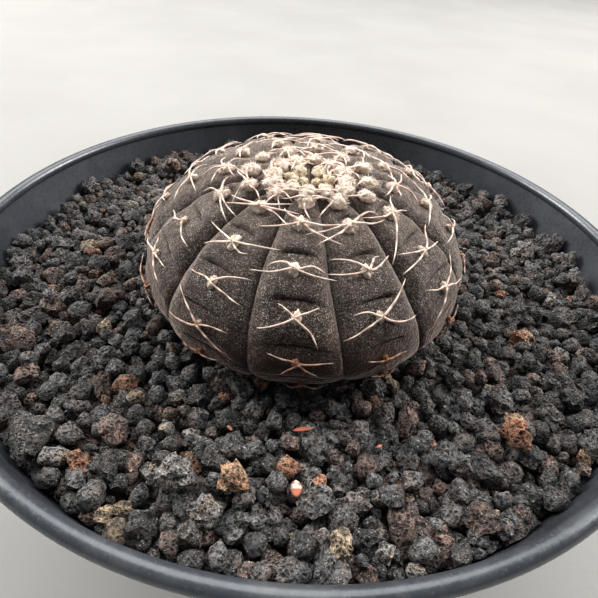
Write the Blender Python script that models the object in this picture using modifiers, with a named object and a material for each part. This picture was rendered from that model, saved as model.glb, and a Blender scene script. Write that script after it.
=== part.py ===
"""Potted round cactus.

A low, twelve-ribbed stem with woolly, spined areoles sits in dark lava grit, over potting mix,
in a shallow tapered plastic pot with a rolled rim. Metres, +Z up, origin under the pot's centre.
The stem's own frame has its equator at Z = 0; the whole plant leans a little towards -Y.
"""
import math
import random

import bmesh
import bpy
from mathutils import Matrix, Vector, noise

# Pot
POT_RIM_DIAMETER = 0.110
POT_BASE_DIAMETER = 0.074
POT_HEIGHT = 0.072
POT_WALL = 0.0014
BEAD_DIAMETER = 0.0020
BASE_THICKNESS = 0.0018
BASE_EDGE_RADIUS = 0.0012
DRAIN_HOLE_COUNT = 4
DRAIN_HOLE_DIAMETER = 0.008
DRAIN_CIRCLE_DIAMETER = 0.042
TURN_STEPS = 48

# Fits
FIT_GAP = 0.0003
STONE_CLEARANCE = 0.0008

# Filling
GRIT_BELOW_RIM = 0.0064
GRIT_DEPTH = 0.010
GRIT_SWELL_HEIGHT = 0.0009
GRIT_SWELL_LENGTH = 0.014
GRIT_RINGS = 9

# Stem
STEM_DIAMETER = 0.048
STEM_DOME_HEIGHT = 0.0151
STEM_UNDERSIDE_DEPTH = 0.0110
STEM_FULLNESS = 1.87
STEM_EQUATOR_ABOVE_GRIT = 0.0078
STEM_OFFSET_X = -0.0003
STEM_OFFSET_Y = -0.0074
STEM_LEAN = math.radians(5.7)
STEM_TURN = math.radians(-3.3)
APEX_DIMPLE_DEPTH = 0.0012
APEX_DIMPLE_START = math.radians(68)
RIB_COUNT = 12
FURROW_DEPTH = 0.0022
TUBERCLE_DEPTH = 0.0006
STEPS_PER_RIB = 6
ROOT_SHOULDER_LATITUDE = math.radians(-52)
ROOT_DIAMETER = 0.011
ROOT_LENGTH = 0.019

# Areoles: latitude of each row on the stem, and how far a rib's rows are shifted, in degrees
ROW_LATITUDES = (12, 29, 46, 62)
ROW_PITCH = 16.5
ROW_SHIFTS = (0, -3, -8, 0, -2, 3, -6, 2, -4, -2, -8, 4)
AREOLE_DIAMETER = 0.0021
AREOLE_THICKNESS = 0.0009
AREOLE_SIDES = 8

# Spines
SPINE_LENGTH = 0.0056
SPINE_BASE_WIDTH = 0.00046
SPINE_TIP_WIDTH = 0.00020
SPINE_LIFT = 0.0007
SPINE_STEPS = 3
CELL_FILL = 0.43
SPINE_ANGLES = (68, 118, 205, 262)
SPINE_SCATTER = 14

# Crown
CROWN_DIAMETER = 0.0095
CROWN_THICKNESS = 0.0014
CROWN_SPINE_COUNT = 8
CROWN_SPINE_LENGTH = 0.0034
CROWN_SPINE_RISE = 0.35

# Loose stones: name, bearing from the stem's axis (0 is -Y, 90 is +X), how far across the grit from
# the stem to the pot's wall (0 to 1), and size
STONES = (
    ("loose_stone_orange", -9, 0.57, 0.0035),
    ("loose_stone_rust", 46, 0.66, 0.0039),
    ("loose_stone_grey", -19, 0.68, 0.0045),
    ("loose_stone_ochre", 8, 0.93, 0.0032),
    ("loose_stone_brown", -34, 0.61, 0.0036),
    ("loose_stone_rear", -140, 0.80, 0.0042),
)

RIM_Z = POT_HEIGHT - BEAD_DIAMETER / 2
RIM_RADIUS = POT_RIM_DIAMETER / 2 - BEAD_DIAMETER / 2
GRIT_TOP = POT_HEIGHT - GRIT_BELOW_RIM
MIX_TOP = GRIT_TOP - GRIT_DEPTH
STEM_RADIUS = STEM_DIAMETER / 2
STEM_FRAME = (
    Matrix.Translation((STEM_OFFSET_X, STEM_OFFSET_Y, GRIT_TOP + STEM_EQUATOR_ABOVE_GRIT))
    @ Matrix.Rotation(STEM_LEAN, 4, "X")
)
RIB_ANGLE = 2 * math.pi / RIB_COUNT


# --- scene and helpers -------------------------------------------------------------------------

def empty_scene():
    for thing in list(bpy.data.objects):
        bpy.data.objects.remove(thing, do_unlink=True)


def new_collection(name):
    collection = bpy.data.collections.new(name)
    bpy.context.scene.collection.children.link(collection)
    return collection


def new_material(name, colour, roughness, metallic=0.0):
    material = bpy.data.materials.new(name)
    material.use_nodes = True
    shader = material.node_tree.nodes["Principled BSDF"]
    shader.inputs["Base Color"].default_value = (*colour, 1.0)
    shader.inputs["Roughness"].default_value = roughness
    shader.inputs["Metallic"].default_value = metallic
    return material


def add_mesh_object(name, mesh, collection, material=None):
    thing = bpy.data.objects.new(name, mesh)
    collection.objects.link(thing)
    if material:
        mesh.materials.append(material)
    return thing


def finish_bmesh(bm, name, smooth=True):
    mesh = bpy.data.meshes.new(name)
    bm.to_mesh(mesh)
    bm.free()
    if smooth:
        mesh.shade_smooth()
        mesh.set_sharp_from_angle(angle=math.radians(40))
    return mesh


def turned(name, profile, collection, material=None):
    """A profile of (radius, height) points, top to bottom on its outer side, turned about Z."""
    mesh = bpy.data.meshes.new(name)
    points = [(radius, 0.0, height) for radius, height in profile]
    edges = [(index, index + 1) for index in range(len(points) - 1)]
    mesh.from_pydata(points, edges, [])
    thing = add_mesh_object(name, mesh, collection, material)
    screw = thing.modifiers.new("turn", "SCREW")
    screw.steps = TURN_STEPS
    screw.render_steps = TURN_STEPS
    screw.use_merge_vertices = True
    screw.merge_threshold = 0.00001
    screw.use_smooth_shade = True
    return thing


def evaluated_mesh(thing):
    """The object's mesh with its modifiers applied, as a new bmesh."""
    bpy.context.view_layer.update()
    graph = bpy.context.evaluated_depsgraph_get()
    mesh = bpy.data.meshes.new_from_object(thing.evaluated_get(graph))
    bm = bmesh.new()
    bm.from_mesh(mesh)
    bmesh.ops.remove_doubles(bm, verts=bm.verts, dist=0.00001)
    bpy.data.meshes.remove(mesh)
    return bm


def as_cutter(thing):
    thing.hide_render = True
    thing.display_type = "WIRE"
    return thing


def cut(thing, cutter):
    boolean = thing.modifiers.new("cut " + cutter.name, "BOOLEAN")
    boolean.operation = "DIFFERENCE"
    boolean.solver = "EXACT"
    boolean.object = cutter


def arc(centre, radius, start, end, steps):
    """Points on a circle in the profile plane, angles in degrees."""
    angles = [math.radians(start + (end - start) * step / steps) for step in range(steps + 1)]
    return [(centre[0] + radius * math.cos(a), centre[1] + radius * math.sin(a)) for a in angles]


# --- pot ---------------------------------------------------------------------------------------

def outer_wall_radius(height):
    """The pot's outer wall is a straight cone from its base to just under the rim's centreline."""
    base = POT_BASE_DIAMETER / 2
    top = RIM_RADIUS + POT_WALL / 2
    return base + (top - base) * height / RIM_Z


def inner_wall_radius(height):
    return outer_wall_radius(height) - POT_WALL


def make_pot(parts, cutters):
    bead = BEAD_DIAMETER / 2
    skirt = math.degrees(math.asin(POT_WALL / BEAD_DIAMETER)) + 4
    base = POT_BASE_DIAMETER / 2
    edge = (base - BASE_EDGE_RADIUS, BASE_EDGE_RADIUS)
    profile = [(0.0, BASE_THICKNESS), (inner_wall_radius(BASE_THICKNESS), BASE_THICKNESS)]
    profile += arc((RIM_RADIUS, RIM_Z), bead, 270 - skirt, -90 + skirt, 8)
    profile += arc(edge, BASE_EDGE_RADIUS, 0, -90, 2)
    profile += [(0.0, 0.0)]
    plastic = new_material("black_plastic", (0.035, 0.037, 0.042), 0.38)
    pot = turned("pot", profile, parts, plastic)
    for index in range(DRAIN_HOLE_COUNT):
        bearing = 2 * math.pi * (index + 0.5) / DRAIN_HOLE_COUNT
        place = Vector((math.sin(bearing), math.cos(bearing), 0)) * DRAIN_CIRCLE_DIAMETER / 2
        bm = bmesh.new()
        bmesh.ops.create_cone(
            bm, cap_ends=True, segments=16, depth=4 * BASE_THICKNESS,
            radius1=DRAIN_HOLE_DIAMETER / 2, radius2=DRAIN_HOLE_DIAMETER / 2,
            matrix=Matrix.Translation(place),
        )
        name = f"drain_cutter_{index + 1}"
        cut(pot, as_cutter(add_mesh_object(name, finish_bmesh(bm, name), cutters)))
    return pot


# --- stem --------------------------------------------------------------------------------------

def stem_section(latitude):
    """Radius and height of the stem's smooth outer form at a latitude, in the stem's frame."""
    c, s = abs(math.cos(latitude)), math.sin(latitude)
    swell = (c ** STEM_FULLNESS + abs(s) ** STEM_FULLNESS) ** (-1 / STEM_FULLNESS)
    dip = max(0.0, (latitude - APEX_DIMPLE_START) / (math.pi / 2 - APEX_DIMPLE_START))
    half = STEM_DOME_HEIGHT if s > 0 else STEM_UNDERSIDE_DEPTH
    return STEM_RADIUS * c * swell, half * s * swell - APEX_DIMPLE_DEPTH * dip ** 2


def stem_profile(grow=0.0):
    """(radius, height, latitude) from the apex to the root's tip, grown outwards by a clearance."""
    top_steps, side_steps, root_steps = 7, 20, 4
    latitudes = [math.radians(90 - 24 * step / top_steps) for step in range(top_steps)]
    start = math.radians(66)
    span = start - ROOT_SHOULDER_LATITUDE
    latitudes += [start - span * step / side_steps for step in range(side_steps + 1)]
    points = [(*stem_section(latitude), latitude) for latitude in latitudes]
    shoulder_z = points[-1][1]
    for step in range(1, root_steps + 1):
        along = step / root_steps
        radius = ROOT_DIAMETER / 2 * (1 - 0.75 * along ** 1.6)
        points.append((radius, shoulder_z - 0.003 - (ROOT_LENGTH - 0.003) * (along - 0.25) / 0.75,
                       ROOT_SHOULDER_LATITUDE))
    points.append((0.0, shoulder_z - ROOT_LENGTH - 0.0006, ROOT_SHOULDER_LATITUDE))
    grown = []
    for index, (radius, height, latitude) in enumerate(points):
        before = points[max(index - 1, 0)]
        after = points[min(index + 1, len(points) - 1)]
        run = Vector((after[0] - before[0], after[1] - before[1])).normalized()
        outward = Vector((-run.y, run.x))
        if radius == 0.0:
            outward = Vector((0, 1 if height > 0 else -1))
        grown.append((radius + outward.x * grow, height + outward.y * grow, latitude))
    return grown


def rib_relief(longitude, latitude):
    """How far the ribbed surface lies inside the smooth form: furrows, and creases over areoles."""
    turns = (longitude - STEM_TURN) / RIB_ANGLE
    rib = round(turns)
    across = abs(turns - rib) * 2
    fade = min(1.0, max(0.0, (latitude - ROOT_SHOULDER_LATITUDE) / math.radians(25)))
    fade *= math.cos(latitude) ** 0.5
    furrow = FURROW_DEPTH * (0.12 * across ** 2 + 0.88 * max(0.0, (across - 0.6) / 0.4) ** 2)
    areole = ROW_LATITUDES[0] + ROW_SHIFTS[rib % RIB_COUNT]
    phase = ((math.degrees(latitude) - areole) / ROW_PITCH + 0.8) % 1.0
    crease = max(0.0, 1 - min(phase, 1 - phase) / 0.2)
    return fade * (furrow + TUBERCLE_DEPTH * crease * (1 - 0.6 * across))


def make_stem(parts):
    profile = stem_profile()
    rings = len(profile) - 1
    bm = bmesh.new()
    bmesh.ops.create_uvsphere(bm, u_segments=RIB_COUNT * STEPS_PER_RIB, v_segments=rings, radius=1.0)
    for vertex in bm.verts:
        ring = round((math.pi / 2 - math.asin(max(-1.0, min(1.0, vertex.co.z)))) / math.pi * rings)
        radius, height, latitude = profile[ring]
        # the sphere's own longitudes are turned so that one of them runs along each rib's crest
        longitude = math.atan2(vertex.co.x, -vertex.co.y) + STEM_TURN
        if ring < rings:
            radius = max(0.0, radius - rib_relief(longitude, latitude))
        vertex.co = (radius * math.sin(longitude), -radius * math.cos(longitude), height)
    bmesh.ops.transform(bm, matrix=STEM_FRAME, verts=bm.verts)
    bmesh.ops.recalc_face_normals(bm, faces=bm.faces)
    skin = new_material("cactus_skin", (0.105, 0.098, 0.085), 0.75)
    return add_mesh_object("cactus_stem", finish_bmesh(bm, "cactus_stem"), parts, skin)


def make_stem_cutter(cutters):
    """The stem's smooth outer form and root with the fit's gap all round."""
    profile = [(max(0.0, radius), height) for radius, height, _ in stem_profile(FIT_GAP)]
    cutter = as_cutter(turned("stem_cutter", profile, cutters))
    cutter.matrix_world = STEM_FRAME
    return cutter


# --- filling -----------------------------------------------------------------------------------

def grit_height(x, y):
    """Height of the grit's uneven surface, which is level where it meets the pot's wall."""
    place = Vector((x / GRIT_SWELL_LENGTH, y / GRIT_SWELL_LENGTH, 0.0))
    edge = inner_wall_radius(GRIT_TOP) - FIT_GAP
    fade = min(1.0, max(0.0, (edge - math.hypot(x, y)) / (edge / GRIT_RINGS)))
    return GRIT_TOP + GRIT_SWELL_HEIGHT * fade * noise.noise(place)


def make_mix(parts, stem_cutter):
    bottom = BASE_THICKNESS + FIT_GAP
    profile = [
        (0.0, MIX_TOP),
        (inner_wall_radius(MIX_TOP) - FIT_GAP, MIX_TOP),
        (inner_wall_radius(bottom) - FIT_GAP, bottom),
        (0.0, bottom),
    ]
    mix = turned("potting_mix", profile, parts, new_material("potting_mix", (0.03, 0.022, 0.016), 0.95))
    cut(mix, stem_cutter)
    return mix


def make_grit(parts, cutters, stem_cutter):
    bottom = MIX_TOP + FIT_GAP
    rim = inner_wall_radius(GRIT_TOP) - FIT_GAP
    floor = inner_wall_radius(bottom) - FIT_GAP
    profile = [(rim * ring / GRIT_RINGS, GRIT_TOP) for ring in range(GRIT_RINGS + 1)]
    profile += [(floor, bottom), (0.0, bottom)]
    blank = turned("grit_blank", profile, cutters)
    bm = evaluated_mesh(blank)
    bpy.data.objects.remove(blank)
    for vertex in bm.verts:
        if vertex.co.z > GRIT_TOP - FIT_GAP:
            vertex.co.z = grit_height(vertex.co.x, vertex.co.y)
    lava = new_material("lava_grit", (0.045, 0.042, 0.040), 0.9)
    grit = add_mesh_object("grit_top_dressing", finish_bmesh(bm, "grit_top_dressing"), parts, lava)
    cut(grit, stem_cutter)
    return grit


def place_on_grit(bearing, share, size):
    """A place on the grit at a bearing from the stem, between its skin and the pot's wall."""
    heading = Vector((math.sin(math.radians(bearing)), -math.cos(math.radians(bearing))))
    stem = Vector((STEM_OFFSET_X, STEM_OFFSET_Y))
    wall = inner_wall_radius(GRIT_TOP)
    along = stem.dot(heading)
    to_wall = math.sqrt(along ** 2 + wall ** 2 - stem.length_squared) - along
    nearest = STEM_RADIUS + size / 2 + STONE_CLEARANCE
    farthest = to_wall - size / 2 - STONE_CLEARANCE
    return stem + heading * (nearest + (farthest - nearest) * share)


def make_stones(parts):
    colours = ((0.27, 0.10, 0.035), (0.20, 0.075, 0.03), (0.09, 0.085, 0.08))
    for index, (name, bearing, share, size) in enumerate(STONES):
        bm = bmesh.new()
        bmesh.ops.create_icosphere(bm, subdivisions=1, radius=size / 2)
        for vertex in bm.verts:
            vertex.co *= 1 + 0.22 * noise.noise(vertex.co / size * 2.2 + Vector((index * 7, 0, 0)))
            vertex.co.z *= 0.8
        place = place_on_grit(bearing, share, size)
        bmesh.ops.translate(bm, vec=(*place, 0), verts=bm.verts)
        lift = max(grit_height(v.co.x, v.co.y) + FIT_GAP - v.co.z for v in bm.verts)
        bmesh.ops.translate(bm, vec=(0, 0, lift), verts=bm.verts)
        material = new_material(name, colours[index % len(colours)], 0.9)
        add_mesh_object(name, finish_bmesh(bm, name), parts, material)


# --- areoles and spines ------------------------------------------------------------------------

def on_stem(longitude, latitude, lift):
    """A point over the stem's smooth form, in world coordinates."""
    step = math.radians(0.5)
    radius, height = stem_section(latitude)
    higher = stem_section(latitude + step)
    run = Vector((higher[0] - radius, higher[1] - height)).normalized()
    radius, height = radius + run.y * lift, height - run.x * lift
    return STEM_FRAME @ Vector((radius * math.sin(longitude), -radius * math.cos(longitude), height))


def row_latitude(row, rib):
    shift = ROW_SHIFTS[rib] * math.cos(math.radians(ROW_LATITUDES[row]))
    return math.radians(ROW_LATITUDES[row] + shift)


def spine_path(longitude, latitude, bearing, length, lift):
    """Points of a spine that leaves an areole along a bearing and follows the stem, bowed outwards.

    The bearing is measured on the surface: 0 is up the rib, 90 towards the next rib.
    """
    radius = stem_section(latitude)[0]
    around = length * math.sin(bearing) / radius
    up = length * math.cos(bearing) / math.hypot(STEM_RADIUS * 0.75, STEM_DOME_HEIGHT * 0.75)
    points = []
    for step in range(1, SPINE_STEPS + 1):
        along = step / SPINE_STEPS
        height = lift + SPINE_LIFT * math.sin(math.pi * (0.15 + 0.75 * along))
        points.append(on_stem(longitude + around * along, latitude + up * along, height))
    return points


def grow_spine(bm, face, path):
    """Extrude one face along a path, tapering from the spine's base width to its tip width."""
    for step, point in enumerate(path):
        centre = face.calc_center_median()
        old_normal = face.normal.copy()
        heading = (point - centre).normalized()
        if step == 0:
            heading = (old_normal + heading).normalized()
        turn = old_normal.rotation_difference(heading).to_matrix()
        along = step / max(1, len(path) - 1)
        width = SPINE_BASE_WIDTH + (SPINE_TIP_WIDTH - SPINE_BASE_WIDTH) * along
        across = max((vertex.co - centre).length for vertex in face.verts)
        scale = width / math.sqrt(2) / across
        face = bmesh.ops.extrude_discrete_faces(bm, faces=[face])["faces"][0]
        for vertex in face.verts:
            vertex.co = point + turn @ (vertex.co - centre) * scale
        face.normal_update()


def make_cluster(name, rib, row, parts, material):
    """A wool pad on a rib's crest with its spines, grown from the pad's own side faces."""
    dice = random.Random(rib * 16 + row)
    longitude = STEM_TURN + rib * RIB_ANGLE
    latitude = row_latitude(row, rib)
    lift = FIT_GAP + AREOLE_THICKNESS / 2
    centre = on_stem(longitude, latitude, lift)
    outward = (on_stem(longitude, latitude, 2 * lift) - centre).normalized()
    upward = on_stem(longitude, latitude + math.radians(1), lift) - centre
    upward = (upward - outward * upward.dot(outward)).normalized()
    sideways = upward.cross(outward)
    frame = Matrix((sideways, upward, outward)).transposed().to_4x4()
    size = AREOLE_DIAMETER / 2
    bm = bmesh.new()
    bmesh.ops.create_uvsphere(bm, u_segments=AREOLE_SIDES, v_segments=3, radius=1.0)
    bmesh.ops.scale(bm, vec=(size, size, AREOLE_THICKNESS / 2), verts=bm.verts)
    sides = [face for face in bm.faces if len(face.verts) == 4]
    bearings = {}
    for face in sides:
        middle = face.calc_center_median()
        bearings[face] = math.atan2(middle.x, middle.y)
    bmesh.ops.transform(bm, matrix=Matrix.Translation(centre) @ frame, verts=bm.verts)
    bm.normal_update()
    cell_across = RIB_ANGLE * stem_section(latitude)[0] * CELL_FILL
    row_step = math.radians(ROW_PITCH) * STEM_RADIUS * 0.72 * CELL_FILL * 2
    free = set(sides)
    for angle in SPINE_ANGLES:
        bearing = math.radians(angle + dice.uniform(-SPINE_SCATTER, SPINE_SCATTER))
        face = min(free, key=lambda f: abs(math.remainder(bearings[f] - bearing, 2 * math.pi)))
        free.discard(face)
        reach = math.hypot(cell_across * math.sin(bearing), row_step * math.cos(bearing))
        length = min(SPINE_LENGTH * dice.uniform(0.85, 1.0), reach)
        grow_spine(bm, face, spine_path(longitude, latitude, bearing, length, lift))
    bmesh.ops.recalc_face_normals(bm, faces=bm.faces)
    add_mesh_object(name, finish_bmesh(bm, name), parts, material)


def make_crown(parts, material):
    """The youngest areoles and spines, crowded into one woolly tuft over the sunken apex."""
    bm = bmesh.new()
    bmesh.ops.create_uvsphere(bm, u_segments=16, v_segments=6, radius=1.0)
    flat = STEM_FRAME.to_3x3()
    for vertex in bm.verts:
        reach = math.hypot(vertex.co.x, vertex.co.y)
        swell = 1 + 0.25 * noise.noise(vertex.co * 2.5) if vertex.co.z > 0 else 1.0
        radius = reach * CROWN_DIAMETER / 2
        latitude = math.acos(min(1.0, radius / STEM_RADIUS))
        lift = FIT_GAP + CROWN_THICKNESS * (vertex.co.z + 1) / 2 * swell
        longitude = math.atan2(vertex.co.x, -vertex.co.y)
        rest = on_stem(longitude, latitude, 0.0)
        vertex.co = rest + flat @ Vector((0, 0, lift + 0.0004))
    bmesh.ops.recalc_face_normals(bm, faces=bm.faces)
    bm.normal_update()
    middle = STEM_FRAME @ Vector((0, 0, stem_section(math.pi / 2)[1]))
    ranked = sorted(bm.faces, key=lambda f: -(f.calc_center_median() - middle).length)
    edge = [face for face in ranked if face.normal.dot(flat.col[2]) > 0.15][:16]
    edge.sort(key=lambda f: math.atan2(*(f.calc_center_median() - middle).xy))
    for face in edge[::len(edge) // CROWN_SPINE_COUNT]:
        centre = face.calc_center_median()
        aside = centre - middle
        aside -= flat.col[2] * aside.dot(flat.col[2])
        heading = (aside.normalized() * 0.9 + flat.col[2] * CROWN_SPINE_RISE).normalized()
        path = [centre + heading * CROWN_SPINE_LENGTH * step / 2 for step in (1, 2)]
        grow_spine(bm, face, path)
    bmesh.ops.recalc_face_normals(bm, faces=bm.faces)
    add_mesh_object("crown_wool", finish_bmesh(bm, "crown_wool"), parts, material)


def main():
    empty_scene()
    parts = new_collection("potted_round_cactus")
    cutters = new_collection("cutters")
    stem_cutter = make_stem_cutter(cutters)
    make_pot(parts, cutters)
    make_mix(parts, stem_cutter)
    make_grit(parts, cutters, stem_cutter)
    make_stones(parts)
    make_stem(parts)
    for rib in range(RIB_COUNT):
        for row in range(len(ROW_LATITUDES)):
            name = f"spines_rib{rib + 1:02d}_row{row + 1}"
            material = new_material(name, (0.66, 0.55, 0.42), 0.6)
            make_cluster(name, rib, row, parts, material)
    make_crown(parts, new_material("crown_wool", (0.78, 0.68, 0.50), 0.9))


main()
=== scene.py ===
# %% [markdown]
# # A potted round cactus
# The plant is a low, ribbed globe with woolly areoles and thin wandering spines, set in dark lava grit
# in a black plastic pot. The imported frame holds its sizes. Every piece but the potting mix is rebuilt here
# in finer detail, in metres and in its place, and then stands for its plain counterpart.


# %% Load the frame
import math
import random

import bmesh
import bpy
import numpy as np
from mathutils import Matrix, Vector, noise


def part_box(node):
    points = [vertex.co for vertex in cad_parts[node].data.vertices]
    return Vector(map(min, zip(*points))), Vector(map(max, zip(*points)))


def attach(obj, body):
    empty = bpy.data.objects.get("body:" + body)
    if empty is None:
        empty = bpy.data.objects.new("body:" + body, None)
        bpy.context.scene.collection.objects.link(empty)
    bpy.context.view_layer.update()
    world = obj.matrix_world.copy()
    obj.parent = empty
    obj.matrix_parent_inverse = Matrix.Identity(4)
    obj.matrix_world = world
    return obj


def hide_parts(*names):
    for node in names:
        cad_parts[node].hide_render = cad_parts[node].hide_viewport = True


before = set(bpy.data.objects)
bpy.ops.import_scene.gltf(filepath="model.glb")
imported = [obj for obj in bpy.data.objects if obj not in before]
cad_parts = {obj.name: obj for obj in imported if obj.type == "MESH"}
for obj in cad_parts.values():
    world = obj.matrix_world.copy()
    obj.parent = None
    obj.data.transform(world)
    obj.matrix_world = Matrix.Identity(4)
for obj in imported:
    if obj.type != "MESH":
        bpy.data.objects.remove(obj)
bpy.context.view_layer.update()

# %% [markdown]
# ## Sizes
# The rim, the grit's level and the stem's place are read from the frame or repeated from the design, so
# the finer pieces land on the plain ones.


# %% Sizes of the pot, the filling and the plant
MM = 0.001
POT_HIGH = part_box("pot")[1]
RIM_OUTER = POT_HIGH.x
BEAD = 1.0 * MM
RIM_Z = POT_HIGH.z - BEAD
RIM_RADIUS = RIM_OUTER - BEAD
BASE_RADIUS = 37 * MM
WALL = 1.4 * MM
FLOOR_THICK = 1.8 * MM
GRIT_TOP = POT_HIGH.z - 6.4 * MM

STEM_RADIUS = 24 * MM
DOME = 15.1 * MM
UNDERSIDE = 11.0 * MM
FULLNESS = 1.87
RIBS = 12
RIB_ANGLE = 2 * math.pi / RIBS
STEM_TURN = math.radians(-3.3)
STEM_FRAME = (Matrix.Translation((-0.3 * MM, -7.4 * MM, GRIT_TOP + 7.8 * MM))
              @ Matrix.Rotation(math.radians(5.7), 4, "X"))

# %% [markdown]
# ## The camera
# A close phone camera looks down on the plant from the front, rolled a few degrees. Its place is given
# in rim radii from the rim's centre, because the round rim is what fixes a viewpoint.


# %% Camera
LENS_SENSOR = 36
LENS_RATIO = 450 / 598
CAMERA_PLACE = Vector((-0.0091, -1.2158, 0.7937))
CAMERA_TILT = math.radians(41.22)
CAMERA_ROLL = math.radians(4.69)


def add_camera():
    camera_data = bpy.data.cameras.new("camera")
    camera_data.sensor_width = LENS_SENSOR
    camera_data.lens = LENS_SENSOR * LENS_RATIO
    camera_data.clip_start = 0.002
    camera = bpy.data.objects.new("camera", camera_data)
    bpy.context.scene.collection.objects.link(camera)
    place = CAMERA_PLACE * RIM_RADIUS + Vector((0, 0, RIM_Z))
    turn = Matrix.Rotation(math.pi / 2 - CAMERA_TILT, 4, "X") @ Matrix.Rotation(CAMERA_ROLL, 4, "Z")
    camera.matrix_world = Matrix.Translation(place) @ turn
    bpy.context.scene.camera = camera
    return camera


camera = add_camera()
print("camera stands", round(1000 * camera.matrix_world.translation.z), "mm over the floor")

# %% [markdown]
# ## Small helpers for meshes
# A bmesh is turned into an object by one function, so each piece's section only holds its own shape.
# Vertex colours named "tone" carry what a material needs to know about the place on the surface.


# %% Mesh helpers
def finish_piece(name, bm, material, smooth=True, sharp=None):
    mesh = bpy.data.meshes.new(name)
    bm.to_mesh(mesh)
    bm.free()
    if smooth:
        mesh.shade_smooth()
    if sharp:
        mesh.set_sharp_from_angle(angle=math.radians(sharp))
    mesh.materials.append(material)
    piece = bpy.data.objects.new(name, mesh)
    bpy.context.scene.collection.objects.link(piece)
    return piece


def belongs(piece, slot, *nodes):
    """Every piece rides on the one body and hides the plain nodes it stands for. The slot that names its
    finish is not used.
    """
    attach(piece, "root")
    if nodes:
        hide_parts(*nodes)
    return piece


def toned_bmesh():
    """An empty bmesh whose vertices carry the colour named tone."""
    bm = bmesh.new()
    bm.verts.layers.float_color.new("tone")
    return bm


def mesh_of(bm, name):
    mesh = bpy.data.meshes.new(name)
    bm.to_mesh(mesh)
    bm.free()
    return mesh


def coordinates(mesh):
    values = np.empty(len(mesh.vertices) * 3, dtype=np.float32)
    mesh.vertices.foreach_get("co", values)
    return values.reshape(-1, 3).astype(float)


def with_tone(mesh):
    mesh.attributes.new("tone", "FLOAT_COLOR", "POINT")
    return mesh


def place_copy(bm, mesh, points, tones):
    """Add a copy of a small mesh to a bmesh with its vertices at new points and with their tones."""
    mesh.vertices.foreach_set("co", np.asarray(points, dtype=np.float32).ravel())
    mesh.attributes["tone"].data.foreach_set("color", np.asarray(tones, dtype=np.float32).ravel())
    bm.from_mesh(mesh)


# %% [markdown]
# ## Helpers for materials
# Each material keeps its own Principled shader. Effects that several of them share, such as pitted
# lava or dust, are node groups that put out only colours, masks and heights.


# %% Material helpers
class Nodes:
    """A thin wrapper that adds and wires nodes in a material's or a group's tree."""

    def __init__(self, tree):
        self.tree = tree

    def add(self, kind, **settings):
        node = self.tree.nodes.new(kind)
        for key, value in settings.items():
            setattr(node, key, value)
        return node

    def wire(self, source, node, socket):
        if isinstance(source, (int, float, tuple)):
            node.inputs[socket].default_value = source
        else:
            self.tree.links.new(source, node.inputs[socket])

    def noise(self, place, scale, detail=3.0, roughness=0.55):
        node = self.add("ShaderNodeTexNoise")
        self.wire(place, node, "Vector")
        self.wire(scale, node, "Scale")
        self.wire(detail, node, "Detail")
        self.wire(roughness, node, "Roughness")
        return node.outputs["Fac"]

    def cells(self, place, scale, feature="F1", randomness=1.0):
        node = self.add("ShaderNodeTexVoronoi", feature=feature)
        self.wire(place, node, "Vector")
        self.wire(scale, node, "Scale")
        self.wire(randomness, node, "Randomness")
        return node

    def span(self, value, low, high, to_low=0.0, to_high=1.0):
        """Map a range of values onto another, clamped, with soft ends."""
        node = self.add("ShaderNodeMapRange", interpolation_type="SMOOTHSTEP")
        for socket, source in zip(("Value", "From Min", "From Max", "To Min", "To Max"),
                                  (value, low, high, to_low, to_high)):
            self.wire(source, node, socket)
        return node.outputs["Result"]

    def mix(self, amount, first, second, blend="MIX"):
        node = self.add("ShaderNodeMix", data_type="RGBA", blend_type=blend)
        self.wire(amount, node, 0)
        for source, socket in ((first, 6), (second, 7)):
            self.wire((*source, 1.0) if isinstance(source, tuple) else source, node, socket)
        return node.outputs[2]

    def math(self, operation, first, second=0.0):
        node = self.add("ShaderNodeMath", operation=operation)
        self.wire(first, node, 0)
        self.wire(second, node, 1)
        return node.outputs[0]

    def object_place(self):
        return self.add("ShaderNodeTexCoord").outputs["Object"]

    def tone(self):
        """The red, green and blue channels of the vertex colour named tone."""
        attribute = self.add("ShaderNodeAttribute", attribute_name="tone")
        split = self.add("ShaderNodeSeparateColor")
        self.wire(attribute.outputs["Color"], split, 0)
        return split.outputs

    def bump(self, height, distance, strength=1.0):
        node = self.add("ShaderNodeBump")
        self.wire(height, node, "Height")
        self.wire(distance, node, "Distance")
        self.wire(strength, node, "Strength")
        return node.outputs["Normal"]


def new_material(name, **constants):
    """A material with its Principled shader, whose constant values are set by socket name."""
    material = bpy.data.materials.new(name)
    material.use_nodes = True
    shader = material.node_tree.nodes["Principled BSDF"]
    for socket, value in constants.items():
        shader.inputs[socket.replace("_", " ")].default_value = value
    return material, Nodes(material.node_tree), shader


def new_group(name, inputs, outputs):
    """A shader node group with named colour and value sockets."""
    tree = bpy.data.node_groups.new(name, "ShaderNodeTree")
    for label, value in inputs.items():
        kind = "NodeSocketColor" if isinstance(value, tuple) else "NodeSocketFloat"
        socket = tree.interface.new_socket(label, in_out="INPUT", socket_type=kind)
        socket.default_value = (*value, 1.0) if isinstance(value, tuple) else value
    for label, kind in outputs.items():
        tree.interface.new_socket(label, in_out="OUTPUT", socket_type=kind)
    nodes = Nodes(tree)
    return tree, nodes, nodes.add("NodeGroupInput").outputs, nodes.add("NodeGroupOutput")


def use_group(nodes, tree, **values):
    """Place a group in a material and set or wire its inputs by name."""
    node = nodes.add("ShaderNodeGroup", node_tree=tree)
    for label, value in values.items():
        source = (*value, 1.0) if isinstance(value, tuple) else value
        nodes.wire(source, node, label.replace("_", " "))
    return node.outputs


# %% [markdown]
# ## The stem's form
# The globe is a flattened superellipse whose growing point is drawn a little to the front. Twelve ribs
# run from the sunken crown to the root, each split into low chinned tubercles. A function of longitude
# and latitude gives the surface, and the areoles and spines read the same function, so they sit on the
# skin however the ribs are shaped.


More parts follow.
